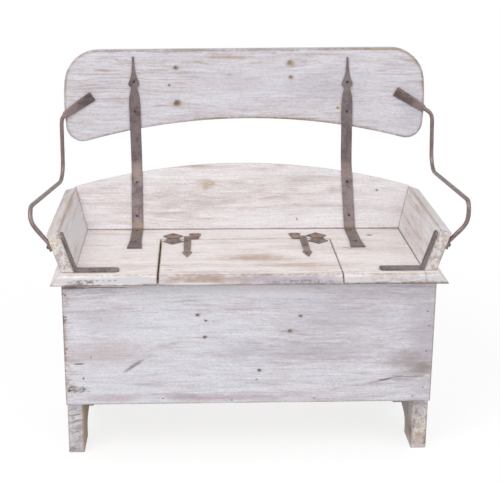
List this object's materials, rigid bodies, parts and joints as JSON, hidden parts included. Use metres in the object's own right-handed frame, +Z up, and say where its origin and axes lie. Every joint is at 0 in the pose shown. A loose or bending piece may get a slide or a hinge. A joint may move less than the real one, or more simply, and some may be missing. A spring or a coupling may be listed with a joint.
{
  "type": "storage bench",
  "caption": "Rustic storage bench: lidded plank chest on arched feet, splayed arm boards, raked back panel and a shaped backrest carried on forged straps and arm rods.",
  "frame": {"origin": "on the floor under the middle of the bench's bounding box", "axes": "+X to the right of a viewer who faces the front, +Y to the back, +Z up; the front faces -Y"},
  "size_m": [0.9958, 0.495, 0.8999],
  "materials": {
    "whitewashed_pine": "thin whitewash over worn pine, matt",
    "worn_seat_pine": "whitewash worn through to warm pine, matt",
    "bare_pine": "bare aged pine, matt",
    "forged_iron": "hand-forged, brown patina",
    "rusty_hinge_iron": "forged, rust-tanned",
    "dark_screws": "dark steel"
  },
  "bodies": {
    "bench": {"chest_front": "whitewashed_pine", "chest_end_left": "whitewashed_pine", "chest_end_right": "whitewashed_pine", "foot_board_left": "whitewashed_pine", "foot_board_right": "whitewashed_pine", "arm_board_left": "whitewashed_pine", "arm_board_right": "whitewashed_pine", "back_panel": "whitewashed_pine", "backrest_board": "whitewashed_pine", "seat_board": "worn_seat_pine", "chest_back": "bare_pine", "chest_floor": "bare_pine", "seat_bearer_left": "bare_pine", "seat_bearer_right": "bare_pine", "back_strap_left": "forged_iron", "back_strap_right": "forged_iron", "arm_rod_left": "forged_iron", "arm_rod_right": "forged_iron", "corner_strap_left": "forged_iron", "corner_strap_right": "forged_iron", "butterfly_rail_leaf_left": "forged_iron", "butterfly_rail_leaf_right": "forged_iron", "arrow_rail_plate_left": "rusty_hinge_iron", "arrow_rail_plate_right": "rusty_hinge_iron", "butterfly_pin_left": "dark_screws", "butterfly_pin_right": "dark_screws", "arrow_pin_left": "dark_screws", "arrow_pin_right": "dark_screws", "rod_coach_screw_left": "dark_screws", "rod_coach_screw_right": "dark_screws"},
    "lid": {"lid_board": "worn_seat_pine", "lid_batten_left": "bare_pine", "lid_batten_right": "bare_pine", "butterfly_lid_leaf_left": "forged_iron", "butterfly_lid_leaf_right": "forged_iron", "arrow_lid_strap_left": "forged_iron", "arrow_lid_strap_right": "forged_iron"}
  },
  "joints": [
    {"name": "lid_hinge", "type": "hinge", "parent": "bench", "child": "lid", "pos_m": [0, 0.0505, 0.4545], "axis": [-1, 0, 0], "range_deg": [0, 139]}
  ]
}
